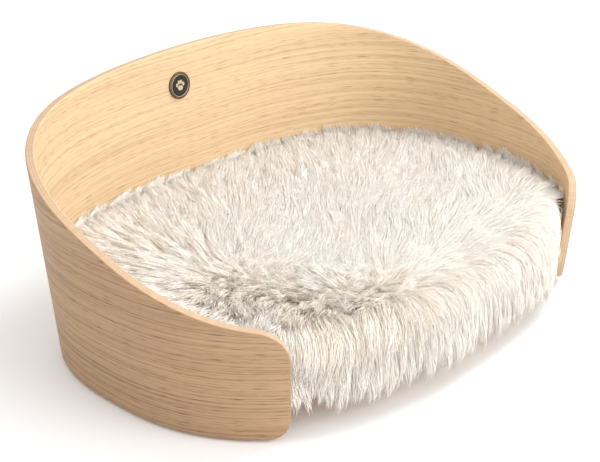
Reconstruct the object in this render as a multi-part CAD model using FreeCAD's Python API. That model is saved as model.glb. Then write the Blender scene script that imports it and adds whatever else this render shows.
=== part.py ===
import FreeCAD, Part
import math
import os

from FreeCAD import Rotation, Vector

# A pet bed: a bent oak-faced plywood wall that is open at the front, a base board on glued
# blocks, a foam cushion with a zipped cover, and a sheepskin laid over the cushion.
# Millimetres. +Z is up, the open front faces -Y, and the bed is symmetric about X = 0.
# Every shape is drawn about the centre of the wall's plan with the wall's lower edge at
# z = 0, and is moved on export so that the origin is the centre of the whole bed's underside.

# Wall. Its outer face at the lower edge follows an oval whose radius at each bearing is
# that of a superellipse, rounder in front of its widest line than behind it.
HALF_WIDTH = 284.0
HALF_DEPTH = 210.0
BACK_POWER = 2.8
FRONT_POWER = 2.25
TIP_BEARING = 124.3  # degrees round from the back centre to where each side ends
LEAN = 0.1  # outward travel per unit of height
FACE_VENEER = 0.6
CORE = 7.8
WALL = 2 * FACE_VENEER + CORE

# Height of the rim at fractions of the way round from the back centre to a tip.
RIM_HEIGHTS = [(0.0, 237.0), (0.2, 233.5), (0.4, 220.5), (0.6, 183.0), (0.8, 139.0)]
TIP_SHOULDER_HEIGHT = 116.0
TIP_SHOULDER_FALL = 7.5  # degrees that the rim falls where its rounded corner begins
TOP_CORNER_RADIUS = 36.0
BOTTOM_CORNER_RADIUS = 20.0

# Base board, blocks, glides and screws
GLUE_LINE = 0.15
BOARD_GAP = 0.3
BOARD_UNDERSIDE = 25.0
BOARD_THICKNESS = 12.0
BOARD_TOP = BOARD_UNDERSIDE + BOARD_THICKNESS
BOARD_SETBACK = 45.0  # from each tip, along the wall
BOARD_FRONT = 170.0  # from the plan's centre to the middle of its front edge
BLOCK_STATIONS = [110.0, 300.0, 480.0]  # along the wall from the back centre, on both sides
BLOCK_LENGTH = 60.0
BLOCK_WIDTH = 24.0
GLIDE_RADIUS = 11.0
GLIDE_THICKNESS = 3.5
BLOCK_UNDERSIDE = 0.5  # above the wall's lower edge
SCREW_PITCH = 38.0
SCREW_RADIUS = 2.0
SCREW_HEAD_RADIUS = 4.0
SCREW_HEAD_DEPTH = 2.2
SCREW_LENGTH = 32.0
SCREW_SINK = 0.4
SCREW_CLEARANCE = 0.1
RECESS_WIDTH = 1.1
RECESS_DEPTH = 1.4

# Badge on the inner face of the back
BADGE_HEIGHT = 196.5
BADGE_RADIUS = 15.0
BADGE_THICKNESS = 1.8
BADGE_RIM = 1.8
BADGE_EDGE_ROUNDING = 0.5
ENAMEL_THICKNESS = 0.5
ENAMEL_SINK = 0.3
ADHESIVE_RADIUS = 13.5
BADGE_CLEARANCE = 0.03  # the inner face curves a little under the flat badge
ADHESIVE_THICKNESS = 0.3
EMBLEM_THICKNESS = 0.4
PAW_PAD = (3.6, 2.8, 0.0, -2.6)  # half width, half height, and place of its centre
PAW_TOES = [(1.5, 2.1, -4.6, 1.0), (1.6, 2.3, -1.7, 3.8), (1.6, 2.3, 1.7, 3.8), (1.5, 2.1, 4.6, 1.0)]

# Cushion
CUSHION_HALF_WIDTH = 274.0
CUSHION_BACK = 200.0
CUSHION_FRONT = 178.0
CUSHION_THICKNESS = 46.0
CUSHION_BOTTOM = BOARD_TOP
CUSHION_TOP = CUSHION_BOTTOM + CUSHION_THICKNESS
COVER = 1.2
PIPING = 5.0
PIPING_ROUNDING = 2.0
PIPING_PROUD = 0.8
FOAM_CLEARANCE = 0.1

# Zip, straight across the underside of the cushion in a shallow channel
ZIP_HALF_LENGTH = 196.0
CHANNEL_HALF_WIDTH = 14.0
CHANNEL_DEPTH = 8.0
TAPE_THICKNESS = 0.6
TAPE_LEVEL = 4.8  # from the underside of the cushion to the tape
TEETH_GAP = 1.4
TEETH_WIDTH = 2.0
TEETH_HEIGHT = 1.6
STOP_LENGTH = 3.0
SLIDER_LENGTH = 11.0
SLIDER_HALF_WIDTH = 4.2
SLIDER_PLATE = 1.0
SLIDER_CLEARANCE = 0.3
SLIDER_NECK_WIDTH = 0.8
SLIDER_START = -178.0  # its centre when the zip is closed

# Sheepskin: a hide with a flap that hangs over the cushion's front, and its wool
HIDE = 2.0
HIDE_CLEARANCE = 0.4
FLAP_GAP = 2.0
FLAP_HALF_WIDTH = 185.0
FLAP_BOTTOM = 42.0
HIDE_BOTTOM = CUSHION_TOP + HIDE_CLEARANCE
HIDE_TOP = HIDE_BOTTOM + HIDE
# Sections of the wool over the cushion: height, half width, back and front reach
WOOL_SECTIONS = [
    (HIDE_TOP, 281.5, 207.0, 205.0),
    (95.0, 282.0, 208.0, 206.0),
    (103.0, 272.0, 198.0, 198.0),
    (108.0, 240.0, 170.0, 172.0),
    (110.0, 180.0, 125.0, 128.0),
]
# Sections of the wool that hangs in front: height and front reach
FRINGE_SECTIONS = [(15.0, 196.0), (35.0, 207.0), (70.0, 212.0), (90.0, 210.0), (99.0, 200.0)]
FRINGE_HALF_WIDTH = 200.0
FRINGE_PLAN_HALF_WIDTH = 276.0

COSINE_OF_LEAN = 1.0 / math.hypot(1.0, LEAN)
BACK_REACH = HALF_DEPTH + LEAN * RIM_HEIGHTS[0][1]
FRONT_REACH = max(reach for height, reach in FRINGE_SECTIONS)
TO_ORIGIN = Vector(0, (FRONT_REACH - BACK_REACH) / 2, GLIDE_THICKNESS - BLOCK_UNDERSIDE)

PLAN_STEPS = 2000
WALL_COLUMNS = 24  # per side, before the rounded corner
CORNER_COLUMNS = 10
OVAL_POINTS = 96


def save(shape, node):
    shape = shape.copy()
    shape.translate(TO_ORIGIN)
    if not shape.isValid():
        raise RuntimeError(node + " is not a valid solid")
    shape.exportStep("parts/" + node + ".step")
    print(f"{node}: {len(shape.Solids)} solid(s), {shape.Volume / 1000:.2f} cm3")


# ---- Plan geometry ----------------------------------------------------------------


def oval_point(bearing, half_width, back, front):
    """A point of an oval at a bearing in radians round from the back centre."""
    ahead = math.cos(bearing) < 0
    power = FRONT_POWER if ahead else BACK_POWER
    depth = front if ahead else back
    across = abs(math.sin(bearing)) / half_width
    along = abs(math.cos(bearing)) / depth
    radius = (across**power + along**power) ** (-1.0 / power)
    return radius * math.sin(bearing), radius * math.cos(bearing)


def oval_normal(x, y):
    """The outward unit normal of the wall's own oval at a point on it."""
    power = FRONT_POWER if y < 0 else BACK_POWER
    across = math.copysign((abs(x) / HALF_WIDTH) ** (power - 1) / HALF_WIDTH, x)
    along = math.copysign((abs(y) / HALF_DEPTH) ** (power - 1) / HALF_DEPTH, y)
    size = math.hypot(across, along)
    return across / size, along / size


def plan_table():
    """Distances along the wall from the back centre, with the bearing of each."""
    rows = [(0.0, 0.0)]
    before = oval_point(0.0, HALF_WIDTH, HALF_DEPTH, HALF_DEPTH)
    for step in range(1, PLAN_STEPS + 1):
        bearing = math.radians(TIP_BEARING) * step / PLAN_STEPS
        point = oval_point(bearing, HALF_WIDTH, HALF_DEPTH, HALF_DEPTH)
        run = math.hypot(point[0] - before[0], point[1] - before[1])
        rows.append((rows[-1][0] + run, bearing))
        before = point
    return rows


PLAN = plan_table()
HALF_LENGTH = PLAN[-1][0]


def bearing_at(station):
    """The bearing at a distance along the wall from the back centre."""
    low = 0
    high = PLAN_STEPS
    while high - low > 1:
        middle = (low + high) // 2
        if PLAN[middle][0] <= station:
            low = middle
        else:
            high = middle
    start, end = PLAN[low], PLAN[high]
    share = (station - start[0]) / (end[0] - start[0])
    return start[1] + share * (end[1] - start[1])


def wall_point(station, height, depth):
    """A point of the wall: height is measured on its outer face, depth square to the sheet."""
    side = -1.0 if station < 0 else 1.0
    x, y = oval_point(bearing_at(min(abs(station), HALF_LENGTH)), HALF_WIDTH, HALF_DEPTH, HALF_DEPTH)
    nx, ny = oval_normal(x, y)
    out = LEAN * height - depth * COSINE_OF_LEAN
    return Vector(side * (x + nx * out), y + ny * out, height + depth * LEAN * COSINE_OF_LEAN)


def level_point(station, level, depth):
    """A point of the wall at a true height above its lower edge."""
    return wall_point(station, level - depth * LEAN * COSINE_OF_LEAN, depth)


def oval_wire(half_width, back, front, level):
    points = []
    for index in range(OVAL_POINTS):
        x, y = oval_point(2 * math.pi * index / OVAL_POINTS, half_width, back, front)
        points.append(Vector(x, y, level))
    curve = Part.BSplineCurve()
    curve.interpolate(points, PeriodicFlag=True)
    return Part.Wire([curve.toShape()])


def oval_slab(half_width, back, front, bottom, top):
    face = Part.Face(oval_wire(half_width, back, front, bottom))
    return face.extrude(Vector(0, 0, top - bottom))


def box(low, high):
    return Part.makeBox(high[0] - low[0], high[1] - low[1], high[2] - low[2], Vector(*low))


# ---- Wall -------------------------------------------------------------------------


def rim_curve():
    """The rim's height against distance along the wall, level at the back centre."""
    corner = math.radians(TIP_SHOULDER_FALL)
    shoulder = HALF_LENGTH - TOP_CORNER_RADIUS * (1 - math.sin(corner))
    stations = [part * HALF_LENGTH for part, height in RIM_HEIGHTS] + [shoulder]
    heights = [height for part, height in RIM_HEIGHTS] + [TIP_SHOULDER_HEIGHT]
    curve = Part.BSplineCurve()
    curve.interpolate(
        Points=[Vector(station, height, 0) for station, height in zip(stations, heights)],
        Parameters=stations,
        InitialTangent=Vector(1, 0, 0),
        FinalTangent=Vector(1, -math.tan(corner), 0),
        Scale=False,
    )
    return curve, shoulder


RIM, SHOULDER = rim_curve()
CORNER_CENTRE_HEIGHT = TIP_SHOULDER_HEIGHT - TOP_CORNER_RADIUS * math.cos(math.radians(TIP_SHOULDER_FALL))


def rim_height(station):
    if station <= SHOULDER:
        return RIM.value(station).y
    over = station - (HALF_LENGTH - TOP_CORNER_RADIUS)
    return CORNER_CENTRE_HEIGHT + math.sqrt(max(TOP_CORNER_RADIUS**2 - over**2, 0.0))


def foot_height(station):
    over = station - (HALF_LENGTH - BOTTOM_CORNER_RADIUS)
    if over <= 0:
        return 0.0
    return BOTTOM_CORNER_RADIUS - math.sqrt(max(BOTTOM_CORNER_RADIUS**2 - over**2, 0.0))


def wall_stations():
    straight = HALF_LENGTH - TOP_CORNER_RADIUS
    side = [straight * index / WALL_COLUMNS for index in range(WALL_COLUMNS + 1)]
    for index in range(1, CORNER_COLUMNS + 1):
        turn = math.pi / 2 * index / CORNER_COLUMNS
        side.append(straight + TOP_CORNER_RADIUS * math.sin(turn))
    return [-station for station in reversed(side[1:])] + side


def wall_surface(depth):
    """The whole sheet at one depth, from its lower edge to its rim."""
    grid = []
    for station in wall_stations():
        foot = foot_height(abs(station)) - depth * LEAN * COSINE_OF_LEAN
        rim = rim_height(abs(station))
        grid.append([wall_point(station, foot + (rim - foot) * share, depth) for share in (0, 0.5, 1)])
    surface = Part.BSplineSurface()
    surface.interpolate(grid)
    return surface


def layer(outer, inner):
    """A closed layer of the wall between two of its surfaces."""
    u_low, u_high, v_low, v_high = outer.bounds()
    faces = [outer.toShape(), inner.toShape()]
    faces.append(Part.makeRuledSurface(outer.vIso(v_low).toShape(), inner.vIso(v_low).toShape()))
    faces.append(Part.makeRuledSurface(outer.vIso(v_high).toShape(), inner.vIso(v_high).toShape()))
    faces.append(Part.makeRuledSurface(outer.uIso(u_low).toShape(), inner.uIso(u_low).toShape()))
    faces.append(Part.makeRuledSurface(outer.uIso(u_high).toShape(), inner.uIso(u_high).toShape()))
    shell = Part.makeShell(faces)
    shell.sewShape()
    solid = Part.makeSolid(shell.Shells[0])
    if solid.Volume < 0:
        solid.reverse()
    return solid


def make_wall():
    depths = [0.0, FACE_VENEER, FACE_VENEER + CORE, WALL]
    surfaces = [wall_surface(depth) for depth in depths]
    names = ["wall_outer_veneer", "wall_core", "wall_inner_veneer"]
    for name, outer, inner in zip(names, surfaces, surfaces[1:]):
        save(layer(outer, inner), name)


# ---- Base board, blocks, glides and screws ------------------------------------------


def wall_run(first, last, level, depth, points):
    """A curve along the wall's inside at one level."""
    stations = [first + (last - first) * index / (points - 1) for index in range(points)]
    curve = Part.BSplineCurve()
    curve.interpolate([level_point(station, level, depth) for station in stations])
    return curve.toShape()


def board_wire(level):
    end = HALF_LENGTH - BOARD_SETBACK
    side = wall_run(-end, end, level, WALL + BOARD_GAP, 2 * WALL_COLUMNS + 1)
    left = side.Vertexes[0].Point
    right = side.Vertexes[-1].Point
    front = Part.Arc(right, Vector(0, -BOARD_FRONT, level), left).toShape()
    return Part.Wire([side, front])


def block_centres():
    return [side * station for station in BLOCK_STATIONS for side in (-1, 1)]


def block_wire(centre, level):
    near = WALL + GLUE_LINE
    ends = [centre - BLOCK_LENGTH / 2, centre + BLOCK_LENGTH / 2]
    back = wall_run(ends[0], ends[1], level, near, 5)
    corners = [level_point(end, 0, near + BLOCK_WIDTH) + Vector(0, 0, level) for end in ends]
    path = Part.makePolygon([back.Vertexes[-1].Point, corners[1], corners[0], back.Vertexes[0].Point])
    return Part.Wire([back] + path.Edges)


def block_frame(centre):
    """The middle of a block's underside and the direction of its length."""
    middle = level_point(centre, 0, WALL + GLUE_LINE + BLOCK_WIDTH / 2)
    middle += Vector(0, 0, BLOCK_UNDERSIDE)
    before = level_point(centre - 1, 0, WALL)
    after = level_point(centre + 1, 0, WALL)
    return middle, (after - before).normalize()


def screw_places(centre):
    middle, along = block_frame(centre)
    return [middle + along * (side * SCREW_PITCH / 2) for side in (-1, 1)]


def screw(clearance):
    """A countersunk wood screw, head down, or with a clearance the hole that takes it."""
    shank = SCREW_RADIUS + clearance
    head = SCREW_HEAD_RADIUS + clearance
    cone = Part.makeCone(head, shank, SCREW_HEAD_DEPTH, Vector(0, 0, SCREW_SINK))
    taper = 2 * SCREW_RADIUS
    straight = SCREW_LENGTH - SCREW_SINK - SCREW_HEAD_DEPTH - taper
    body = Part.makeCylinder(shank, straight, Vector(0, 0, SCREW_SINK + SCREW_HEAD_DEPTH))
    point = Part.makeCone(shank, shank / 4, taper, Vector(0, 0, SCREW_LENGTH - taper))
    shape = cone.fuse([body, point]).removeSplitter()
    if clearance:
        return shape.fuse(Part.makeCylinder(head, SCREW_SINK)).removeSplitter()
    half = SCREW_HEAD_RADIUS / 2
    low = SCREW_SINK - RECESS_DEPTH
    slot = box((-half, -RECESS_WIDTH / 2, low), (half, RECESS_WIDTH / 2, SCREW_SINK + RECESS_DEPTH))
    cross = slot.fuse(slot.rotated(Vector(0, 0, 0), Vector(0, 0, 1), 90))
    return shape.cut(cross)


def make_base():
    hole = screw(SCREW_CLEARANCE)
    holes = [hole.translated(place) for centre in block_centres() for place in screw_places(centre)]
    wires = [board_wire(BOARD_UNDERSIDE), board_wire(BOARD_TOP)]
    board = Part.makeLoft(wires, True, True)
    save(board.cut(holes), "base_board")

    for number, centre in enumerate(block_centres(), 1):
        wires = [block_wire(centre, BLOCK_UNDERSIDE), block_wire(centre, BOARD_UNDERSIDE)]
        block = Part.makeLoft(wires, True, True)
        block_holes = [hole.translated(place) for place in screw_places(centre)]
        save(block.cut(block_holes), f"corner_block_{number}")
        low = block_frame(centre)[0] - Vector(0, 0, GLIDE_THICKNESS)
        save(Part.makeCylinder(GLIDE_RADIUS, GLIDE_THICKNESS, low), f"felt_glide_{number}")

    fastener = screw(0)
    places = [place for centre in block_centres() for place in screw_places(centre)]
    save(Part.makeCompound([fastener.translated(place) for place in places]), "block_screws")


# ---- Badge ------------------------------------------------------------------------


def ellipse_pad(half_width, half_height, x, y, bottom, thickness):
    pad = Part.makeCylinder(1.0, 1.0)
    matrix = FreeCAD.Matrix()
    matrix.scale(half_width, half_height, thickness)
    return pad.transformGeometry(matrix).translated(Vector(x, y, bottom))


def make_badge():
    """A round plate with a sunk enamel field and a raised paw, flat on the inner face."""
    upright = 90 - math.degrees(math.atan(LEAN))
    middle = level_point(0, BADGE_HEIGHT, WALL + BADGE_CLEARANCE)
    place = FreeCAD.Placement(middle, Rotation(Vector(1, 0, 0), upright))

    def seat(shape, node):
        shape = shape.copy()
        shape.Placement = place.multiply(shape.Placement)
        save(shape, node)

    plate_bottom = ADHESIVE_THICKNESS
    plate_top = plate_bottom + BADGE_THICKNESS
    field_top = plate_top - ENAMEL_SINK
    field_bottom = field_top - ENAMEL_THICKNESS
    field_radius = BADGE_RADIUS - BADGE_RIM
    plate = Part.makeCylinder(BADGE_RADIUS, BADGE_THICKNESS, Vector(0, 0, plate_bottom))
    plate = plate.makeFillet(BADGE_EDGE_ROUNDING, plate.Edges[:1])
    sunk = Part.makeCylinder(field_radius, BADGE_THICKNESS, Vector(0, 0, field_bottom))
    seat(plate.cut(sunk), "badge_plate")
    seat(Part.makeCylinder(field_radius, ENAMEL_THICKNESS, Vector(0, 0, field_bottom)), "badge_enamel")
    pads = [ellipse_pad(*pad, field_top, EMBLEM_THICKNESS) for pad in [PAW_PAD] + PAW_TOES]
    seat(Part.makeCompound(pads), "badge_paw")
    seat(Part.makeCylinder(ADHESIVE_RADIUS, ADHESIVE_THICKNESS), "badge_adhesive")


# ---- Cushion ----------------------------------------------------------------------


def cushion_slab(inset, bottom, top):
    """A slice of the cushion, drawn in all round by an inset."""
    return oval_slab(
        CUSHION_HALF_WIDTH - inset, CUSHION_BACK - inset, CUSHION_FRONT - inset, bottom, top
    )


def cushion_ring(outer_inset, inner_inset, bottom, top):
    return cushion_slab(outer_inset, bottom, top).cut(cushion_slab(inner_inset, bottom, top))


def zip_box(x, near, far, bottom, top, side):
    """A box along the zip on one side of it: side is 1 behind the zip and -1 before it."""
    low, high = sorted((side * near, side * far))
    return box((-x, low, CUSHION_BOTTOM + bottom), (x, high, CUSHION_BOTTOM + top))


def make_cushion():
    top, bottom = CUSHION_TOP, CUSHION_BOTTOM
    seam = PIPING - PIPING_PROUD
    wide = cushion_slab(COVER + FOAM_CLEARANCE, bottom + PIPING, top - PIPING)
    tall = cushion_slab(seam + FOAM_CLEARANCE, bottom + COVER, top - COVER)
    channel = box(
        (-ZIP_HALF_LENGTH - STOP_LENGTH, -CHANNEL_HALF_WIDTH, bottom),
        (ZIP_HALF_LENGTH + STOP_LENGTH, CHANNEL_HALF_WIDTH, bottom + CHANNEL_DEPTH),
    )
    save(wide.fuse(tall).removeSplitter().cut(channel), "foam_core")
    save(cushion_ring(0, COVER, bottom + PIPING, top - PIPING), "cover_side_band")
    save(cushion_slab(seam, top - COVER, top), "cover_top_panel")
    panel = cushion_slab(seam, bottom, bottom + COVER)
    reach = CUSHION_HALF_WIDTH
    for side, node in ((1, "cover_back_underside"), (-1, "cover_front_underside")):
        half = zip_box(reach, 0, reach, 0, COVER, side)
        save(panel.common(half).cut(channel), node)
    for node, level in (("piping_top", top - PIPING), ("piping_bottom", bottom)):
        cord = cushion_ring(-PIPING_PROUD, seam, level, level + PIPING)
        save(cord.makeFillet(PIPING_ROUNDING, cord.Edges), node)


def make_zip():
    end = ZIP_HALF_LENGTH
    teeth_near = TEETH_GAP / 2
    teeth_far = teeth_near + TEETH_WIDTH
    teeth_bottom = TAPE_LEVEL - TEETH_HEIGHT
    tape_top = TAPE_LEVEL + TAPE_THICKNESS
    for side, word in ((1, "back"), (-1, "front")):
        strip = zip_box(end, teeth_near, CHANNEL_HALF_WIDTH, TAPE_LEVEL, tape_top, side)
        hem_near = CHANNEL_HALF_WIDTH - TAPE_THICKNESS
        hem = zip_box(end, hem_near, CHANNEL_HALF_WIDTH, 0, TAPE_LEVEL, side)
        save(strip.fuse(hem).removeSplitter(), f"zip_{word}_tape")
        teeth = zip_box(end, teeth_near, teeth_far, teeth_bottom, TAPE_LEVEL, side)
        save(teeth, f"zip_{word}_teeth")
    stops = []
    for x in (-end, end):
        low, high = sorted((x, x + math.copysign(STOP_LENGTH, x)))
        level = CUSHION_BOTTOM + teeth_bottom
        stops.append(box((low, -teeth_far, level), (high, teeth_far, CUSHION_BOTTOM + tape_top)))
    save(Part.makeCompound(stops), "zip_end_stops")

    gap = SLIDER_CLEARANCE
    half = SLIDER_LENGTH / 2
    under_top = teeth_bottom - gap
    under = zip_box(half, 0, SLIDER_HALF_WIDTH, under_top - SLIDER_PLATE, under_top, 1)
    over = zip_box(half, 0, SLIDER_HALF_WIDTH, tape_top + gap, tape_top + gap + SLIDER_PLATE, 1)
    cheek = zip_box(half, teeth_far + gap, SLIDER_HALF_WIDTH, under_top, TAPE_LEVEL - gap, 1)
    pieces = [under, over, cheek]
    pieces += [piece.mirror(Vector(0, 0, 0), Vector(0, 1, 0)) for piece in pieces]
    neck = zip_box(half / 2, 0, SLIDER_NECK_WIDTH / 2, under_top, tape_top + gap, 1)
    pieces += [neck, neck.mirror(Vector(0, 0, 0), Vector(0, 1, 0))]
    slider = pieces[0].fuse(pieces[1:]).removeSplitter()
    save(slider.translated(Vector(SLIDER_START, 0, 0)), "zip_slider")


# ---- Sheepskin --------------------------------------------------------------------


def front_region(half_width, bottom, top):
    reach = FRONT_REACH + PIPING
    return box((-half_width, -reach, bottom), (half_width, 0, top))


def hide_slab(inset, bottom, top):
    """A slice of the space inside the hide's outline, which stands a little off the cushion."""
    grow = FLAP_GAP + HIDE - inset
    return oval_slab(CUSHION_HALF_WIDTH + grow, CUSHION_BACK, CUSHION_FRONT + grow, bottom, top)


def make_sheepskin():
    sheet = hide_slab(0, HIDE_BOTTOM, HIDE_TOP)
    region = front_region(FLAP_HALF_WIDTH, FLAP_BOTTOM, HIDE_TOP)
    flap = hide_slab(0, FLAP_BOTTOM, HIDE_TOP).common(region).cut(hide_slab(HIDE, FLAP_BOTTOM, HIDE_TOP))
    save(sheet.fuse(flap).removeSplitter(), "sheepskin_hide")

    wires = [oval_wire(width, back, front, level) for level, width, back, front in WOOL_SECTIONS]
    top = Part.makeLoft(wires, True, True)
    wires = [
        oval_wire(FRINGE_PLAN_HALF_WIDTH, CUSHION_BACK, reach, level) for level, reach in FRINGE_SECTIONS
    ]
    hanging = Part.makeLoft(wires, True, True)
    low, high = FRINGE_SECTIONS[0][0], FRINGE_SECTIONS[-1][0]
    hanging = hanging.common(front_region(FRINGE_HALF_WIDTH, low, high))
    wool = top.fuse(hanging.cut(hide_slab(0, low, HIDE_TOP))).removeSplitter()
    save(wool, "sheepskin_wool")


os.makedirs("parts", exist_ok=True)
make_wall()
make_base()
make_badge()
make_cushion()
make_zip()
make_sheepskin()
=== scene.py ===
import math

import bmesh
import bpy
import numpy as np
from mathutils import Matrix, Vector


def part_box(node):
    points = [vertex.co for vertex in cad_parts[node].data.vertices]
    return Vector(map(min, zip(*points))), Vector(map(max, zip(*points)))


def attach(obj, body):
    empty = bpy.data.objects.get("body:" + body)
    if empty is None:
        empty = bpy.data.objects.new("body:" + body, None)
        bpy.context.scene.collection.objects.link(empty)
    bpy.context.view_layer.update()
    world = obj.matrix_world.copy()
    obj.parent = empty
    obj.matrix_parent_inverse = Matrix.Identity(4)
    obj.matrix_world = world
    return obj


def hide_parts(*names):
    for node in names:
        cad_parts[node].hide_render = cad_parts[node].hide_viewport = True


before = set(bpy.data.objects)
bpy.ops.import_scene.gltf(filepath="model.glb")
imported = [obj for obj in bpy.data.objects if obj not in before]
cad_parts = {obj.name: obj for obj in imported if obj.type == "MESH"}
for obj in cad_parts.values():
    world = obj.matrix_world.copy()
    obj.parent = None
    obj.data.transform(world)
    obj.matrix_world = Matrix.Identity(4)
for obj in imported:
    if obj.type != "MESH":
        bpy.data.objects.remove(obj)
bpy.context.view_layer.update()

# Lengths are metres, in the part's own frame: +X across the bed, the open front faces -Y, +Z up.
MM = 0.001

# ---- Camera, lights and floor ----

AIM = (-0.0441, -0.0109, 0.1074)
CAMERA_AZIMUTH = -47.32
CAMERA_ELEVATION = 24.55
CAMERA_DISTANCE = 1.5928
LENS = 94.4
SENSOR = 36.0

WORLD_STRENGTH = 1.0
LIGHT_BOUNCES = 16
DIFFUSE_BOUNCES = 10  # light wool stays light only if light can pass through it many times
FLOOR_REACH = 60.0
FLOOR_ALBEDO = 0.98
# Each light's name, place, aim, diameter and power.
LIGHTS = [
    ("key", (1.1, -0.3, 2.2), (0, 0, 0.05), 1.3, 25.0),
    ("fill", (0.5, -2.2, 1.1), (0, 0, 0.08), 2.0, 36.0),
]


def link(name, data):
    """An object in the scene for a camera, light or mesh."""
    piece = bpy.data.objects.new(name, data)
    bpy.context.scene.collection.objects.link(piece)
    return piece


def make_camera():
    azimuth = math.radians(CAMERA_AZIMUTH)
    elevation = math.radians(CAMERA_ELEVATION)
    data = bpy.data.cameras.new("camera")
    data.lens = LENS
    data.sensor_width = SENSOR
    camera = link("camera", data)
    level = math.cos(elevation)
    out = (math.sin(azimuth) * level, -math.cos(azimuth) * level, math.sin(elevation))
    camera.location = [a + CAMERA_DISTANCE * b for a, b in zip(AIM, out)]
    camera.rotation_euler = (math.pi / 2 - elevation, 0, azimuth)
    bpy.context.scene.camera = camera


def make_light(name, place, aim, diameter, power):
    data = bpy.data.lights.new(name, "AREA")
    data.shape = "DISK"
    data.size = diameter
    data.energy = power
    light = link(name, data)
    light.location = place
    x, y, z = np.array(aim, float) - np.array(place, float)
    light.rotation_euler = (math.atan2(math.hypot(x, y), -z), 0, math.atan2(-x, y))


def make_stage():
    scene = bpy.context.scene
    scene.view_settings.view_transform = "Standard"
    scene.cycles.max_bounces = LIGHT_BOUNCES
    scene.cycles.diffuse_bounces = DIFFUSE_BOUNCES
    world = bpy.data.worlds.new("studio")
    world.use_nodes = True
    background = world.node_tree.nodes["Background"]
    background.inputs["Color"].default_value = (1.0, 1.0, 1.0, 1.0)
    background.inputs["Strength"].default_value = WORLD_STRENGTH
    scene.world = world

    mesh = bpy.data.meshes.new("floor")
    signs = [(-1, -1), (1, -1), (1, 1), (-1, 1)]
    mesh.from_pydata([(FLOOR_REACH * x, FLOOR_REACH * y, 0) for x, y in signs], [], [(0, 1, 2, 3)])
    floor = link("floor", mesh)
    material = bpy.data.materials.new("floor_white")
    material.use_nodes = True
    shader = material.node_tree.nodes["Principled BSDF"]
    shader.inputs["Base Color"].default_value = (FLOOR_ALBEDO, FLOOR_ALBEDO, FLOOR_ALBEDO, 1)
    shader.inputs["Roughness"].default_value = 0.9
    mesh.materials.append(material)
    for light in LIGHTS:
        make_light(*light)


# ---- Plan of the wall ----
# The wall's outer face at its lower edge is an oval, rounder in front than behind. Its plan
# centre stands a little behind the frame's origin and its lower edge just above the floor.

GLIDE = 3 * MM  # the wall's lower edge stands this far above the floor
BACK_HEIGHT = 237 * MM
HALF_WIDTH = 284 * MM
HALF_DEPTH = 210 * MM
BACK_POWER = 2.8
FRONT_POWER = 2.25
TIP_BEARING = math.radians(124.3)
LEAN = 0.1
COSINE_OF_LEAN = 1 / math.hypot(1, LEAN)
WALL = 9 * MM
FACE_VENEER = 0.6 * MM
PLAN_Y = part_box("wall_outer_veneer")[1].y - HALF_DEPTH - LEAN * BACK_HEIGHT
RIM_HEIGHTS = [(0.0, 237.0), (0.2, 233.5), (0.4, 220.5), (0.6, 183.0), (0.8, 139.0)]
TIP_SHOULDER_HEIGHT = 116 * MM
TIP_SHOULDER_FALL = math.radians(7.5)
TOP_CORNER_RADIUS = 36 * MM
BOTTOM_CORNER_RADIUS = 20 * MM


def oval_radius(bearing, half_width=HALF_WIDTH, back=HALF_DEPTH, front=HALF_DEPTH):
    """The radius of an oval, by default the wall's, at bearings round from the back centre."""
    ahead = np.cos(bearing) < 0
    power = np.where(ahead, FRONT_POWER, BACK_POWER)
    depth = np.where(ahead, front, back)
    across = np.abs(np.sin(bearing)) / half_width
    along = np.abs(np.cos(bearing)) / depth
    return (across**power + along**power) ** (-1 / power)


def plan_points(bearing, radius):
    return np.stack([radius * np.sin(bearing), radius * np.cos(bearing)], -1)


def unit(vectors):
    return vectors / np.maximum(np.linalg.norm(vectors, axis=-1, keepdims=True), 1e-9)


def oval_normal(points, half_width=HALF_WIDTH, back=HALF_DEPTH, front=HALF_DEPTH):
    """The outward unit normal in plan at points of such an oval."""
    x, y = points[..., 0], points[..., 1]
    power = np.where(y < 0, FRONT_POWER, BACK_POWER)
    depth = np.where(y < 0, front, back)
    across = np.sign(x) * (np.abs(x) / half_width) ** (power - 1) / half_width
    along = np.sign(y) * (np.abs(y) / depth) ** (power - 1) / depth
    return unit(np.stack([across, along], -1))


PLAN_BEARINGS = np.linspace(0, TIP_BEARING, 4001)
PLAN_POINTS = plan_points(PLAN_BEARINGS, oval_radius(PLAN_BEARINGS))
PLAN_RUN = np.concatenate([[0], np.cumsum(np.hypot(*np.diff(PLAN_POINTS, axis=0).T))])
HALF_LENGTH = PLAN_RUN[-1]
SHOULDER = HALF_LENGTH - TOP_CORNER_RADIUS * (1 - math.sin(TIP_SHOULDER_FALL))
CORNER_CENTRE_HEIGHT = TIP_SHOULDER_HEIGHT - TOP_CORNER_RADIUS * math.cos(TIP_SHOULDER_FALL)


def spline_slopes(x, y, first, last):
    """Slopes at the knots of the clamped cubic spline through them."""
    count = len(x)
    matrix = np.zeros((count, count))
    right = np.zeros(count)
    matrix[0, 0] = matrix[-1, -1] = 1
    right[0], right[-1] = first, last
    for i in range(1, count - 1):
        before, after = x[i] - x[i - 1], x[i + 1] - x[i]
        matrix[i, i - 1 : i + 2] = [after, 2 * (before + after), before]
        right[i] = 3 * (after * (y[i] - y[i - 1]) / before + before * (y[i + 1] - y[i]) / after)
    return np.linalg.solve(matrix, right)


RIM_X = np.array([part * HALF_LENGTH for part, height in RIM_HEIGHTS] + [SHOULDER])
RIM_Y = np.array([height * MM for part, height in RIM_HEIGHTS] + [TIP_SHOULDER_HEIGHT])
RIM_SLOPES = spline_slopes(RIM_X, RIM_Y, 0.0, -math.tan(TIP_SHOULDER_FALL))


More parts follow.
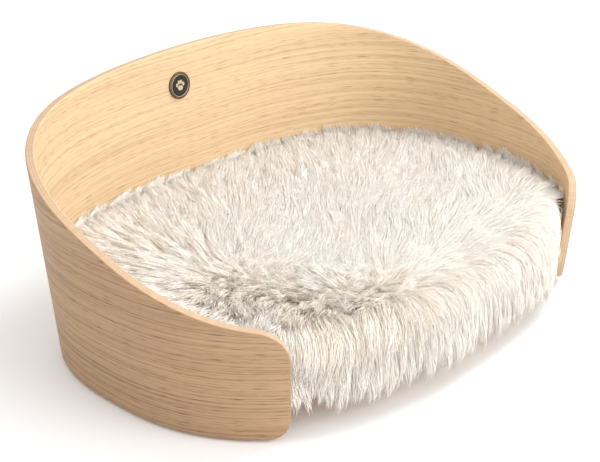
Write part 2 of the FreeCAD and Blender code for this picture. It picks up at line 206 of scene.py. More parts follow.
def rim_height(run):
    """Height of the rim above the lower edge at a distance from the back centre, with its slope."""
    run = np.minimum(run, SHOULDER)
    i = np.clip(np.searchsorted(RIM_X, run, side="right") - 1, 0, len(RIM_X) - 2)
    width = RIM_X[i + 1] - RIM_X[i]
    t = (run - RIM_X[i]) / width
    rise = RIM_Y[i + 1] - RIM_Y[i]
    first = RIM_SLOPES[i] * width
    last = RIM_SLOPES[i + 1] * width
    second = 3 * rise - 2 * first - last
    third = first + last - 2 * rise
    height = RIM_Y[i] + t * (first + t * (second + t * third))
    return height, (first + t * (2 * second + 3 * t * third)) / width


def wall_points(run, height, depth):
    """Points of the wall: run is the signed distance round it, depth is square to the sheet."""
    side = np.where(run < 0, -1.0, 1.0)
    bearing = np.interp(np.abs(run), PLAN_RUN, PLAN_BEARINGS)
    plan = plan_points(bearing, oval_radius(bearing))
    out = LEAN * height - depth * COSINE_OF_LEAN
    plan = plan + oval_normal(plan) * out[..., None]
    z = height + depth * LEAN * COSINE_OF_LEAN
    return np.stack([side * plan[..., 0], plan[..., 1] + PLAN_Y, z + GLIDE], -1)


# ---- Meshes ----


def shade_smooth(mesh):
    mesh.polygons.foreach_set("use_smooth", [True] * len(mesh.polygons))


def mount(name, mesh, material, body, replaced=()):
    """Makes a mesh a piece of the object, on its body and with its finish."""
    mesh.materials.append(material)
    piece = link(name, mesh)
    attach(piece, body)
    if replaced:
        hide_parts(*replaced)
    return piece


def new_object(name, vertices, faces, material, body, slot, replaced=()):
    mesh = bpy.data.meshes.new(name)
    mesh.from_pydata([tuple(v) for v in vertices], [], faces)
    mesh.validate()
    shade_smooth(mesh)
    return mount(name, mesh, material, body, replaced)


def grid_faces(rows, columns, start=0, closed=False, looped=False):
    """Quads between neighbouring rows of points, each row holding that many columns. A closed
    grid joins each row's ends, and a looped one joins its last row to its first."""
    faces = []
    for i in range(rows if looped else rows - 1):
        a = start + i * columns
        b = start + (i + 1) % rows * columns
        for j in range(columns if closed else columns - 1):
            k = (j + 1) % columns
            faces.append((a + j, a + k, b + k, b + j))
    return faces


# ---- Materials ----


class Nodes:
    """A short way to write a material's nodes."""

    def __init__(self, name):
        self.material = bpy.data.materials.new(name)
        self.material.use_nodes = True
        self.tree = self.material.node_tree
        self.shader = self.tree.nodes["Principled BSDF"]

    def add(self, kind, settings=None, **inputs):
        node = self.tree.nodes.new(kind)
        for key, value in (settings or {}).items():
            setattr(node, key, value)
        for key, value in inputs.items():
            self.put(node.inputs[key.replace("_", " ")], value)
        return node

    def put(self, socket, value):
        if isinstance(value, bpy.types.NodeSocket):
            self.tree.links.new(value, socket)
        elif isinstance(value, bpy.types.Node):
            self.tree.links.new(value.outputs[0], socket)
        elif hasattr(value, "__len__") and len(value) == 3 and socket.type == "RGBA":
            socket.default_value = (*value, 1)
        else:
            socket.default_value = value

    def maths(self, operation, a, b):
        node = self.add("ShaderNodeMath", {"operation": operation})
        self.put(node.inputs[0], a)
        self.put(node.inputs[1], b)
        return node.outputs[0]

    def coordinates(self, source="Object", stretch=(1, 1, 1)):
        place = self.add("ShaderNodeTexCoord")
        return self.add("ShaderNodeMapping", Vector=place.outputs[source], Scale=stretch).outputs[0]

    def noise(self, where, scale, detail=3.0, roughness=0.5):
        node = self.add("ShaderNodeTexNoise", Scale=scale, Detail=detail, Roughness=roughness)
        self.put(node.inputs["Vector"], where)
        return node.outputs["Fac"]

    def ramp(self, factor, stops):
        node = self.add("ShaderNodeValToRGB", Fac=factor)
        elements = node.color_ramp.elements
        while len(elements) < len(stops):
            elements.new(0.5)
        for element, (position, colour) in zip(elements, stops):
            element.position = position
            element.color = (*(colour if hasattr(colour, "__len__") else [colour] * 3), 1)
        return node.outputs["Color"]

    def mix(self, factor, a, b, blend="MIX"):
        node = self.add("ShaderNodeMix", {"data_type": "RGBA", "blend_type": blend})
        for index, value in ((0, factor), (6, a), (7, b)):
            self.put(node.inputs[index], value)
        return node.outputs[2]

    def bump(self, height, strength, distance):
        node = self.add("ShaderNodeBump", Height=height, Strength=strength, Distance=distance)
        self.put(self.shader.inputs["Normal"], node)

    def set(self, **inputs):
        for key, value in inputs.items():
            self.put(self.shader.inputs[key.replace("_", " ")], value)
        return self.material


def toned(name, scale, detail, dark, light, rough, bump, ends=(0.3, 0.7), relief=None, **inputs):
    """A material whose colour follows one noise. Its roughness is a number, or two that follow
    it too, and its relief is the same noise unless it has its own scale and detail."""
    n = Nodes(name)
    where = n.coordinates("Object")
    tone = n.noise(where, scale, detail)
    n.bump(n.noise(where, *relief) if relief else tone, *bump)
    if hasattr(rough, "__len__"):
        rough = n.ramp(tone, [(0.3, rough[0]), (0.7, rough[1])])
    return n.set(Base_Color=n.ramp(tone, list(zip(ends, (dark, light)))), Roughness=rough, **inputs)


def metal_look(name, dark, light, rough):
    return toned(name, 800.0, 3.0, dark, light, (rough, rough + 0.12), (0.08, 0.0002), Metallic=1.0)


def oak(name, light, dark, pore, contrast):
    """Straight-grained oak veneer: UV is the run round the wall and the height, in metres."""
    n = Nodes(name)
    bend = n.noise(n.coordinates("UV", (3.0, 3.0, 1)), 1.0, 2.0)
    shift = n.add("ShaderNodeCombineXYZ", Y=n.maths("MULTIPLY", bend, 0.014)).outputs[0]
    where = n.add("ShaderNodeVectorMath", {"operation": "ADD"})
    n.put(where.inputs[0], n.coordinates("UV"))
    n.put(where.inputs[1], shift)

    def streak(along, across, detail, roughness):
        """Noise with that many features to a metre along the grain and across it."""
        mapping = n.add("ShaderNodeMapping", Vector=where.outputs[0], Scale=(along, across, 1))
        return n.noise(mapping.outputs[0], 1.0, detail, roughness)

    broad = streak(1.0, 30, 3.0, 0.5)
    rings = streak(2.0, 420, 3.0, 0.55)
    fine = streak(9.0, 900, 2.0, 0.6)
    pores = streak(55.0, 1300, 1.0, 0.4)
    line = n.ramp(rings, [(0.36, 0.0), (0.52, 1.0)])
    colour = n.mix(line, n.mix(contrast, light, dark), light)
    shade = n.mix(line, dark, n.mix(0.5, light, dark))
    colour = n.mix(n.ramp(broad, [(0.35, 0.0), (0.7, 0.6)]), colour, shade)
    colour = n.mix(1.0, colour, n.ramp(fine, [(0.3, 0.90), (0.65, 1.03)]), "MULTIPLY")
    share = n.ramp(rings, [(0.42, contrast), (0.6, 0.25 * contrast)])
    mask = n.maths("MULTIPLY", n.ramp(pores, [(0.57, 0.0), (0.66, 1.0)]), share)
    colour = n.mix(mask, colour, pore)
    n.bump(n.mix(0.5, fine, n.ramp(pores, [(0.56, 1.0), (0.68, 0.0)])), 0.2, 0.0003)
    rough = n.ramp(fine, [(0.2, 0.50), (0.8, 0.62)])
    return n.set(Base_Color=colour, Roughness=rough, Specular_IOR_Level=0.35)


# ---- Wall ----

EDGE_ROUNDING = 1.3 * MM
PLIES = 7
MAIN_COLUMNS = 180
CORNER_COLUMNS = 14
WALL_ROWS = 24
SHARP = math.radians(35)  # edges sharper than this aren't smoothed over
VENEER_STEPS = 3
CORE_STEPS = 14
EDGE_GRAIN = 0.4  # the edges read the grain this far above the faces
# Both faces are the same oak veneer; the outer face's colours are painted darker, as painted shade of the
# outer face.
OAK_INSIDE = ((0.72, 0.525, 0.315), (0.55, 0.375, 0.21), (0.34, 0.20, 0.10), 0.65)
OAK_OUTSIDE_SHADED = ((0.46, 0.295, 0.17), (0.28, 0.165, 0.085), (0.16, 0.085, 0.04), 0.8)
# The ply edge's colours across one pair of plies.
PLY_TONES = [
    (0.0, (0.58, 0.41, 0.26)),
    (0.46, (0.64, 0.46, 0.30)),
    (0.54, (0.52, 0.34, 0.20)),
    (1.0, (0.56, 0.37, 0.22)),
]


def inset_outline(inset, columns):
    """The wall's rim and foot, as (run, height) pairs, drawn in from its outline by an inset."""

    def corner(radius):
        """A rounded corner's run at the columns, and its height over the corner's centre."""
        start = HALF_LENGTH - radius
        sine = np.clip((columns - start) / radius, 0, 1)
        return np.minimum(columns, start) + (radius - inset) * sine, (radius - inset) * np.sqrt(1 - sine**2)

    height, slope = rim_height(columns)
    size = np.hypot(1, slope)
    rim = np.stack([columns + inset * slope / size, height - inset / size], 1)
    run, over = corner(TOP_CORNER_RADIUS)
    turned = columns > SHOULDER
    rim[turned] = np.stack([run, CORNER_CENTRE_HEIGHT + over], 1)[turned]
    run, over = corner(BOTTOM_CORNER_RADIUS)
    return rim, np.stack([run, BOTTOM_CORNER_RADIUS - over], 1)


def wall_columns():
    straight = HALF_LENGTH - TOP_CORNER_RADIUS
    side = np.linspace(0, straight, MAIN_COLUMNS // 2, endpoint=False)
    turn = np.linspace(0, math.pi / 2, CORNER_COLUMNS)
    return np.concatenate([side, straight + TOP_CORNER_RADIUS * np.sin(turn)])


def edge_inset(depth):
    """How far the eased edges draw the outline in at a depth in the wall."""
    near = min(depth, WALL - depth)
    if near >= EDGE_ROUNDING:
        return 0.0
    return EDGE_ROUNDING - math.sqrt(EDGE_ROUNDING**2 - (EDGE_ROUNDING - near) ** 2)


def wall_layer(name, outer, inner, steps, material, slot, replaced):
    """A closed layer of the wall with eased edges. UV is run and height, and the depth of each
    point in the wall is kept in millimetres for the plies' material."""
    columns = wall_columns()
    count = 2 * len(columns) - 1
    points, uvs, depths, faces = [], [], [], []

    def sheet(depth):
        rim, foot = inset_outline(edge_inset(depth), columns)
        share = np.linspace(0, 1, WALL_ROWS)[:, None, None]
        flat = foot * (1 - share) + rim * share
        run = np.concatenate([-flat[:, :0:-1, 0], flat[:, :, 0]], 1)
        height = np.concatenate([flat[:, :0:-1, 1], flat[:, :, 1]], 1)
        return run, height

    def put(run, height, depth, grain):
        start = len(points)
        points.extend(wall_points(run, height, np.full(run.shape, depth)).reshape(-1, 3))
        uvs.extend(np.stack([run, height + grain], -1).reshape(-1, 2))
        depths.extend([depth / MM] * run.size)
        return start

    for depth in (outer, inner):
        made = grid_faces(WALL_ROWS, count, put(*sheet(depth), depth, 0))
        faces += made if depth == inner else [face[::-1] for face in made]
    start = len(points)
    for depth in np.linspace(outer, inner, steps + 1):
        loop = [np.concatenate([a[-1], a[-2::-1, -1], a[0, -2::-1], a[1:-1, 0]]) for a in sheet(depth)]
        put(*loop, depth, EDGE_GRAIN)
    faces += [face[::-1] for face in grid_faces(steps + 1, loop[0].size, start, closed=True)]
    piece = new_object(name, points, faces, material, "shell", slot, replaced)
    mesh = piece.data
    corners = np.zeros(len(mesh.loops), int)
    mesh.loops.foreach_get("vertex_index", corners)
    mesh.uv_layers.new(name="run").data.foreach_set("uv", np.asarray(uvs)[corners].ravel())
    mesh.attributes.new("depth", "FLOAT", "POINT").data.foreach_set("value", np.float32(depths))
    merge_seams(piece)


def merge_seams(piece):
    """Joins the points that faces share along a seam, and keeps sharp edges sharp."""
    work = bmesh.new()
    work.from_mesh(piece.data)
    bmesh.ops.remove_doubles(work, verts=work.verts, dist=1e-7)
    bmesh.ops.recalc_face_normals(work, faces=work.faces)
    work.to_mesh(piece.data)
    work.free()
    piece.data.set_sharp_from_angle(angle=SHARP)


def ply_edges(name):
    """Plywood core: the plies show in its edge as alternate bands across the wall's thickness."""
    n = Nodes(name)
    grain = n.noise(n.coordinates("UV", (60, 500, 1)), 1.0, 3.0, 0.6)
    depth = n.add("ShaderNodeAttribute", {"attribute_name": "depth"}).outputs["Fac"]
    ply = n.maths("MULTIPLY", depth, PLIES / (WALL / MM))
    tone = n.ramp(n.maths("PINGPONG", ply, 1.0), PLY_TONES)
    glue = n.ramp(n.maths("PINGPONG", ply, 0.5), [(0.0, 0.75), (0.06, 1.0)])
    colour = n.mix(1.0, tone, glue, "MULTIPLY")
    colour = n.mix(1.0, colour, n.ramp(grain, [(0.3, 0.9), (0.7, 1.04)]), "MULTIPLY")
    n.bump(n.noise(n.coordinates("Object"), 900.0), 0.1, 0.0003)
    return n.set(Base_Color=colour, Roughness=0.6)


def make_wall():
    # The outer veneer's oak carries painted shade: it is a darker copy of the inner face's oak.
    inside, outside = oak("oak_inside", *OAK_INSIDE), oak("oak_outside_shaded", *OAK_OUTSIDE_SHADED)
    inner = WALL - FACE_VENEER
    wall_layer("outer_oak_veneer", 0, FACE_VENEER, VENEER_STEPS, outside, "oak_veneer", ["wall_outer_veneer"])
    edge = ply_edges("plywood_edge")
    wall_layer("plywood_core", FACE_VENEER, inner, CORE_STEPS, edge, "plywood_core", ["wall_core"])
    wall_layer("inner_oak_veneer", inner, WALL, VENEER_STEPS, inside, "oak_veneer", ["wall_inner_veneer"])


# ---- Sheepskin: its flat form, and how it lies over the cushion and its front edge ----
# A point of the flat skin is a plan point; past the lip it bends over the cushion's front edge
# and hangs. Plan points here are about the wall's plan centre.

HIDE_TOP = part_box("sheepskin_hide")[1].z
HIDE_THICKNESS = 2 * MM
LIP_BEND = 12 * MM
LIP_HALF_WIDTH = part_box("sheepskin_hide")[1].x - LIP_BEND
LIP_FRONT = -(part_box("sheepskin_hide")[0].y - PLAN_Y) - LIP_BEND
ROOTS_BACK = 194 * MM
SKIN_MARGIN = 3 * MM
SKIN_RINGS = 60
SKIN_SPOKES = 260
LIP_STATIONS = 600
NOISE_CELLS = 64
FLAP_FADE = (188 * MM, 207 * MM)  # half widths between which the bend dies out beside the tips
FLAP_ROOTS = 44 * MM  # how far past the lip the wool still has roots
WALL_CLEARANCE = 0.8 * MM
PUSH_BACK = 1.12  # wool that would pass the wall comes back by this times as much,
CLIMB = 0.45  # and rises by this share of it
TIP_FADE = (TIP_BEARING + math.radians(1), TIP_BEARING + math.radians(4))
TIP_FRONT = -125 * MM  # in front of this, wool beside the tips stays within a half width
TIP_CLEAR = 206 * MM


def smooth_step(low, high, value):
    t = np.clip((value - low) / (high - low), 0, 1)
    return t * t * (3 - 2 * t)


def value_noise(points, size, seed):
    """Smooth noise from -1 to 1 over plan points, with features about as large as size."""
    table = np.random.default_rng(seed).uniform(-1, 1, (NOISE_CELLS, NOISE_CELLS))
    where = points / size + 100.0
    cell = np.floor(where).astype(int)
    part = where - cell
    part = part * part * (3 - 2 * part)
    x0, y0 = cell[..., 0] % NOISE_CELLS, cell[..., 1] % NOISE_CELLS
    x1, y1 = (x0 + 1) % NOISE_CELLS, (y0 + 1) % NOISE_CELLS
    low = table[x0, y0] * (1 - part[..., 0]) + table[x1, y0] * part[..., 0]
    high = table[x0, y1] * (1 - part[..., 0]) + table[x1, y1] * part[..., 0]
    return low * (1 - part[..., 1]) + high * part[..., 1]


def lip_at(points):
    """The lip's point at each plan point's bearing, its outward normal, how far past it the
    point is, which is negative behind the lip, and the share of the bend that the lip has there:
    1 in front, dying out beside the tips and 0 behind."""
    bearing = np.arctan2(points[..., 0], points[..., 1])
    oval = (LIP_HALF_WIDTH, ROOTS_BACK, LIP_FRONT)
    edge = plan_points(bearing, oval_radius(bearing, *oval))
    normal = oval_normal(edge, *oval)
    past = ((points - edge) * normal).sum(-1)
    ahead = np.where(edge[..., 1] < 0, 1.0 - smooth_step(*FLAP_FADE, np.abs(edge[..., 0])), 0.0)
    return edge, normal, past, ahead


def lay(points, height):
    """Places points of the flat skin, each at a height above the hide, in the part's frame."""
    _, normal, past, ahead = lip_at(points)
    over = np.maximum(past, 0)
    turn = np.minimum(over / LIP_BEND, math.pi / 2)
    fall = LIP_BEND * (1 - np.cos(turn)) + np.maximum(over - LIP_BEND * math.pi / 2, 0)
    out = LIP_BEND * np.sin(turn) + height * np.sin(turn)
    bent = points + normal * (out - over)[..., None]
    level = -fall + height * np.cos(turn)
    plan = points + (bent - points) * ahead[..., None]
    z = HIDE_TOP + height + (level - height) * ahead
    plan, z = stay_inside(plan, z)
    return np.concatenate([plan + [0, PLAN_Y], z[..., None]], -1)


def stay_inside(plan, z):
    """Turns wool that would pass through the wall up its inner face."""
    bearing = np.abs(np.arctan2(plan[..., 0], plan[..., 1]))
    radius = np.hypot(plan[..., 0], plan[..., 1])
    grown = LEAN * (z - GLIDE) - WALL
    limit = oval_radius(bearing, HALF_WIDTH + grown, HALF_DEPTH + grown, HALF_DEPTH + grown) - WALL_CLEARANCE
    beside = 1.0 - smooth_step(*TIP_FADE, bearing)
    over = np.maximum(radius - limit, 0) * beside
    plan = plan * ((radius - over * PUSH_BACK) / np.maximum(radius, 1e-9))[..., None]
    past_tip = (plan[..., 1] < TIP_FRONT) & (np.abs(plan[..., 0]) > TIP_CLEAR) & (beside < 1)
    x = np.where(past_tip, np.sign(plan[..., 0]) * TIP_CLEAR, plan[..., 0])
    return np.stack([x, plan[..., 1]], -1), z + over * CLIMB


# ---- Wool ----

PART_LINE = np.array([[-150, -10], [-85, -140]]) * MM  # the wool is combed away from it
BACK_COMB = np.array([0.66, 0.88])
LIP_COMB = 1.3
SIDE_COMB = 0.35
PARTING_WIDTH = 22 * MM  # the wool stands up and turns every way this near it
LOCKS = 3900
STRANDS_PER_LOCK = 34
MATTED_LOCKS = 380  # extra ones, in the curly patches
PARTING_LOCKS = 170  # and along the parting
LOCK_RADIUS = 7 * MM
STRAND_RADIUS = 0.34 * MM
TAPER = np.array([0.8, 1.0, 0.95, 0.8, 0.55])  # a strand's thickness at its rings, root to tip
SIDES = 3
ROOT_FIELD = ([-0.285, -0.26], [0.285, 0.21])  # the plan box in which roots are tried
STRAND_LENGTH = 46 * MM
PILE_HEIGHT = 12 * MM
FRINGE_REACH = 76 * MM  # from the lip down to the fringe's tips, along the flap
TONGUE_PITCH = 17 * MM  # width of the rounded locks of the fringe
TONGUE_GATHER = 0.62
TONGUE_FALL = 11 * MM  # a rounded lock's sides end this much higher than its middle
ROW_DEPTH = 19 * MM
ROW_START = 12 * MM  # the first row of them starts this far behind the lip
ROW_SHIFT = 0.37
TONGUE_WANDER = 31 * MM
TUCK = 13 * MM  # the fringe's ends are drawn in beside the tips
# Random factors run between these, first for a whole lock and then for each of its strands.
LOCK_LENGTHS = (0.8, 1.15)
LOCK_LIFTS = (0.75, 1.2)
LOCK_WAVES = (0.6, 1.4)
LOCK_TURNS = (1.2, 2.2)
STRAND_LENGTHS = (0.82, 1.06)
STRAND_LIFTS = (0.7, 1.12)
FALLS = (26 * MM, 60 * MM)  # shortest and longest hanging lock
RAGGED = (-9 * MM, 4 * MM)  # how far the fringe's ends are uneven
FRAY = (1.5 * MM, 0.8 * MM)  # how far single strands stray at their tips, aside and up
SHARES = np.array([0.0, 0.22, 0.45, 0.68, 0.87, 1.0])  # places of a strand's rings and tip
WARM_STEPS = [0.45, 1.15]  # strands warmer than these are cream and sand
# Where the wool is warmer in colour, and where it curls: place and radius in millimetres, strength.
WARM_PATCHES = [
    ((-145, -30), 42, 0.6),
    ((-140, -90), 48, 0.7),
    ((-172, -140), 48, 0.75),
    ((-105, -172), 46, 0.5),
    ((-45, -150), 60, 0.3),
    ((60, 30), 90, 0.2),
]
CURLY_PATCHES = [
    ((-178, -152), 38, 1.0),
    ((-128, -176), 36, 1.0),
    ((-80, -185), 30, 0.8),
    ((-145, -25), 26, 0.9),
    ((-120, -70), 26, 0.9),
    ((-92, -125), 28, 1.0),
]
SHADES = {
    "white": (0.99, 0.955, 0.90),
    "cream": (0.98, 0.91, 0.81),
    "sand": (0.93, 0.81, 0.66),
}
STRANDS_PER_PIECE = 190_000 // (2 * SIDES * (len(TAPER) - 1) + 4)


def patches(points, table):
    total = np.zeros(points.shape[:-1])
    for place, radius, strength in table:
        gap = np.hypot(points[..., 0] - place[0] * MM, points[..., 1] - place[1] * MM)
        total += strength * np.exp(-((gap / (radius * MM)) ** 2))
    return np.clip(total, 0, 1)


def away_from_parting(points):
    """Each plan point's step from the nearest point of the parting."""
    start, end = PART_LINE
    along = end - start
    share = np.clip(((points - start) @ along) / (along @ along), 0, 1)
    return points - (start + share[:, None] * along)


def turned(vectors, angle):
    x, y = vectors.T
    return np.stack([x * np.cos(angle) - y * np.sin(angle), x * np.sin(angle) + y * np.cos(angle)], 1)


def comb(points):
    """Unit direction in which the wool lies at plan points of the flat skin."""
    away = unit(away_from_parting(points))
    back = smooth_step(-0.13, 0.0, points[:, 0]) * smooth_step(-0.16, -0.04, points[:, 1])
    away = unit(away + back[:, None] * BACK_COMB)
    edge, normal, past, _ = lip_at(points)
    pull = (smooth_step(-0.06, 0.005, past) * np.where(edge[:, 1] < 0, 1.0, SIDE_COMB))[:, None]
    away = away * (1 - pull) + normal * pull * LIP_COMB
    return unit(turned(away, 0.42 * value_noise(points, 0.055, 11) + 0.22 * value_noise(points, 0.017, 12)))


def lock_roots(random, count):
    """Lock centres spread evenly over the flat skin, flap included."""
    found = []
    total = 0
    while total < count:
        tries = random.uniform(*ROOT_FIELD, (count, 2))
        edge, _, past, _ = lip_at(tries)
        on_flap = (edge[:, 1] < 0) & (np.abs(edge[:, 0]) < 0.5 * sum(FLAP_FADE))
        keep = past < np.where(on_flap, FLAP_ROOTS, -1 * MM)
        found.append(tries[keep])
        total += int(keep.sum())
    even = np.concatenate(found)[: count - MATTED_LOCKS - PARTING_LOCKS]
    start, end = PART_LINE
    share = random.uniform(-0.05, 1.05, PARTING_LOCKS)[:, None]
    parting = start + share * (end - start) + random.normal(0, 1, (PARTING_LOCKS, 2)) * PARTING_WIDTH * 0.6
    which = random.integers(0, len(CURLY_PATCHES), MATTED_LOCKS)
    middles = np.array([CURLY_PATCHES[i][0] for i in which]) * MM
    sizes = np.array([CURLY_PATCHES[i][1] for i in which]) * MM * 0.55
    matted = middles + random.normal(0, 1, (MATTED_LOCKS, 2)) * sizes[:, None]
    _, normal, past, _ = lip_at(matted)
    near = past > -4 * MM
    matted[near] -= normal[near] * (past[near] + 12 * MM)[:, None]
    return np.concatenate([even, matted, parting])


def lip_run(points):
    """Distance along the front lip of each plan point's bearing, from its right end."""
    bearing = np.linspace(math.pi / 2, 3 * math.pi / 2, LIP_STATIONS)
    edge = plan_points(bearing, oval_radius(bearing, LIP_HALF_WIDTH, ROOTS_BACK, LIP_FRONT))
    run = np.concatenate([[0], np.cumsum(np.linalg.norm(np.diff(edge, axis=0), axis=1))])
    own = np.arctan2(points[:, 0], points[:, 1]) % (2 * math.pi)
    return np.interp(own, bearing, run)


def tongues(roots, past):
    """Where each hanging root stands beside the middle of the rounded lock it belongs to."""
    row = np.floor((past + ROW_START) / ROW_DEPTH)
    run = lip_run(roots)
    place = run / TONGUE_PITCH + (row * ROW_SHIFT) % 1.0 + 0.25 * np.sin(run / TONGUE_WANDER + row)
    return (place - np.round(place)) * TONGUE_PITCH


def strands():
    """Centrelines of every strand, as flat plan points and heights, with its shade."""
    random = np.random.default_rng(7)
    centres = lock_roots(random, LOCKS)
    _, normal, past, ahead = lip_at(centres)
    hanging = ahead * smooth_step(-0.014, 0.004, past)
    curly = patches(centres, CURLY_PATCHES) * (1 - smooth_step(-0.036, -0.016, past))
    warm = patches(centres, WARM_PATCHES) * (1 - 0.75 * hanging)
    parted = np.exp(-((np.linalg.norm(away_from_parting(centres), axis=1) / PARTING_WIDTH) ** 2))
    spin = random.uniform(-math.pi, math.pi, LOCKS) * np.maximum(0.4 * curly, 0.8 * parted)
    heading = turned(comb(centres), spin)
    heading = unit(heading * (1 - hanging[:, None]) + normal * hanging[:, None] * 2)
    length = STRAND_LENGTH * random.uniform(*LOCK_LENGTHS, LOCKS) * (1 - 0.35 * curly) * (1 - 0.3 * parted)
    fall = np.clip(FRINGE_REACH - past + random.uniform(*RAGGED, LOCKS), *FALLS)
    length += (fall - length) * hanging
    lift = PILE_HEIGHT * random.uniform(*LOCK_LIFTS, LOCKS) * (1 + 0.25 * value_noise(centres, 0.05, 3))
    lift *= (1 + 0.25 * hanging) * (1 + 0.35 * parted)
    lift *= 1 - 0.35 * smooth_step(-0.03, 0.0, past) * (1 - ahead)
    clump = 0.30 - 0.12 * hanging + 0.15 * curly + random.uniform(-0.1, 0.1, LOCKS)
    wave = MM * (0.9 + 1.1 * curly - 0.3 * hanging) * random.uniform(*LOCK_WAVES, LOCKS)
    turns = random.uniform(*LOCK_TURNS, LOCKS) + 1.0 * curly
    phase = random.uniform(0, 2 * math.pi, LOCKS)

    lock = np.repeat(np.arange(LOCKS), STRANDS_PER_LOCK)
    count = len(lock)
    angle = random.uniform(0, 2 * math.pi, count)
    spread = LOCK_RADIUS * np.sqrt(random.uniform(0, 1, count)) * (1 - 0.3 * curly[lock])
    offset = np.stack([spread * np.cos(angle), spread * np.sin(angle)], 1)
    fray = random.normal(0, 1, (count, 3)) * (1 - 0.5 * hanging[lock])[:, None]
    own_length = length[lock] * random.uniform(*STRAND_LENGTHS, count)
    own_lift = lift[lock] * random.uniform(*STRAND_LIFTS, count)
    direction = heading[lock]
    across = np.stack([-direction[:, 1], direction[:, 0]], 1)
    aside = tongues(centres[lock] + offset, past[lock])
    sense = np.stack([-normal[lock, 1], normal[lock, 0]], 1)
    own_length -= hanging[lock] * TONGUE_FALL * (2 * aside / TONGUE_PITCH) ** 2
    own_lift *= 1 - 0.45 * hanging[lock] * (2 * aside / TONGUE_PITCH) ** 2

    share = SHARES[None, :]
    along = share**1.15
    rise = 1 - (1 - share) ** 1.8 - 0.35 * hanging[lock][:, None] * share**4
    gather = 1 - clump[lock][:, None] * share**0.8
    swing = 2 * math.pi * turns[lock][:, None] * share + phase[lock][:, None]
    sway = wave[lock][:, None] * np.sin(swing) * share**0.6 + (fray[:, 0] * FRAY[0])[:, None] * share**2
    bob = 0.55 * wave[lock][:, None] * np.cos(swing)
    pull = (TONGUE_GATHER * hanging[lock] * aside)[:, None] * share**2.2
    plan = (
        centres[lock][:, None, :]
        + offset[:, None, :] * gather[:, :, None]
        + direction[:, None, :] * (own_length[:, None] * along)[:, :, None]
        + across[:, None, :] * sway[:, :, None]
        + sense[:, None, :] * pull[:, :, None]
    )
    tuck = TUCK * hanging[lock] * smooth_step(0.168, 0.200, np.abs(centres[lock, 0]))
    plan[:, :, 0] -= np.sign(centres[lock, 0])[:, None] * tuck[:, None] * share
    height = own_lift[:, None] * rise + bob * share + (fray[:, 1] * FRAY[1])[:, None] * share
    height = np.maximum(height, 0.2 * MM)
    tone = warm[lock] * 0.75 + 0.35 * value_noise(centres, 0.03, 21)[lock] + random.normal(0, 0.28, count)
    return plan, height, across, np.digitize(tone, WARM_STEPS)


def strand_mesh(name, lines, side, material):
    """Tapered strands, each closed at its root and drawn to a point at its tip."""
    count, rings = len(lines), len(TAPER)
    step = unit(np.gradient(lines, axis=1))
    first = unit(side - (side * step).sum(2)[:, :, None] * step)
    second = np.cross(step, first)
    rows = []
    for angle in np.arange(SIDES) * 2 * math.pi / SIDES:
        ray = math.cos(angle) * first[:, :rings] + math.sin(angle) * second[:, :rings]
        rows.append(lines[:, :rings] + ray * (STRAND_RADIUS * TAPER)[None, :, None])
    tube = np.stack(rows, 2).reshape(count, rings * SIDES, 3)
    points = np.concatenate([tube, lines[:, -1:, :]], 1)
    per = rings * SIDES + 1
    last = per - 1 - SIDES
    fours = grid_faces(rings, SIDES, closed=True)
    threes = [[last + k, last + (k + 1) % SIDES, per - 1] for k in range(SIDES)] + [[2, 1, 0]]
    base = (np.arange(count) * per)[:, None, None]
    fours, threes = ((base + np.array(faces)[None]).reshape(-1) for faces in (fours, threes))
    starts = np.concatenate([np.arange(0, len(fours), 4), len(fours) + np.arange(0, len(threes), 3)])
    mesh = bpy.data.meshes.new(name)
    mesh.vertices.add(count * per)
    mesh.vertices.foreach_set("co", points.astype(np.float32).ravel())
    mesh.loops.add(len(fours) + len(threes))
    mesh.loops.foreach_set("vertex_index", np.concatenate([fours, threes]).astype(np.int32))
    mesh.polygons.add(len(starts))
    mesh.polygons.foreach_set("loop_start", starts.astype(np.int32))
    shade_smooth(mesh)
    mesh.update(calc_edges=True)
    mesh.validate()
    return mount(name, mesh, material, "sheepskin")


def wool_material(name, colour):
    """Lustrous wool: one colour to a piece, with roughness and fine relief from noise."""
    n = Nodes(name)
    fine = n.noise(n.coordinates("Object"), 700.0, 2.0)
    n.bump(fine, 0.25, 0.0003)
    rough = n.ramp(fine, [(0.3, 0.55), (0.7, 0.8)])
    sheen = {"Sheen_Weight": 0.6, "Sheen_Roughness": 0.4}
    return n.set(Base_Color=colour, Roughness=rough, Specular_IOR_Level=0.2, **sheen)


def make_wool():
    plan, height, across, shade = strands()
    lines = lay(plan, height)
    side = np.concatenate([across, np.zeros((len(across), 1))], 1)[:, None, :]
    pieces = []
    for index, (word, colour) in enumerate(SHADES.items()):
        material = wool_material("wool_" + word, colour)
        chosen = np.flatnonzero(shade == index)
        for number, start in enumerate(range(0, len(chosen), STRANDS_PER_PIECE), 1):
            part = chosen[start : start + STRANDS_PER_PIECE]
            pieces.append(strand_mesh(f"wool_{word}_{number}", lines[part], side[part], material))
    return pieces


def skin_outline():
    """Bearings round the flat skin and how far its edge reaches at each."""
    bearing = np.linspace(0, 2 * math.pi, SKIN_SPOKES, endpoint=False)
    reach = oval_radius(bearing, LIP_HALF_WIDTH, ROOTS_BACK, LIP_FRONT)
    ahead = lip_at(plan_points(bearing, reach))[3]
    return bearing, reach + SKIN_MARGIN + (FLAP_ROOTS - SKIN_MARGIN) * ahead


def skin_grid(height, matted):
    """Rings of points of the laid skin at a height above the hide, from its middle to its edge,
    higher by matted in the curly patches."""
    bearing, reach = skin_outline()
    points = plan_points(bearing, np.linspace(0.004, 1.0, SKIN_RINGS)[:, None] * reach[None, :])
    return lay(points, height + matted * patches(points, CURLY_PATCHES))


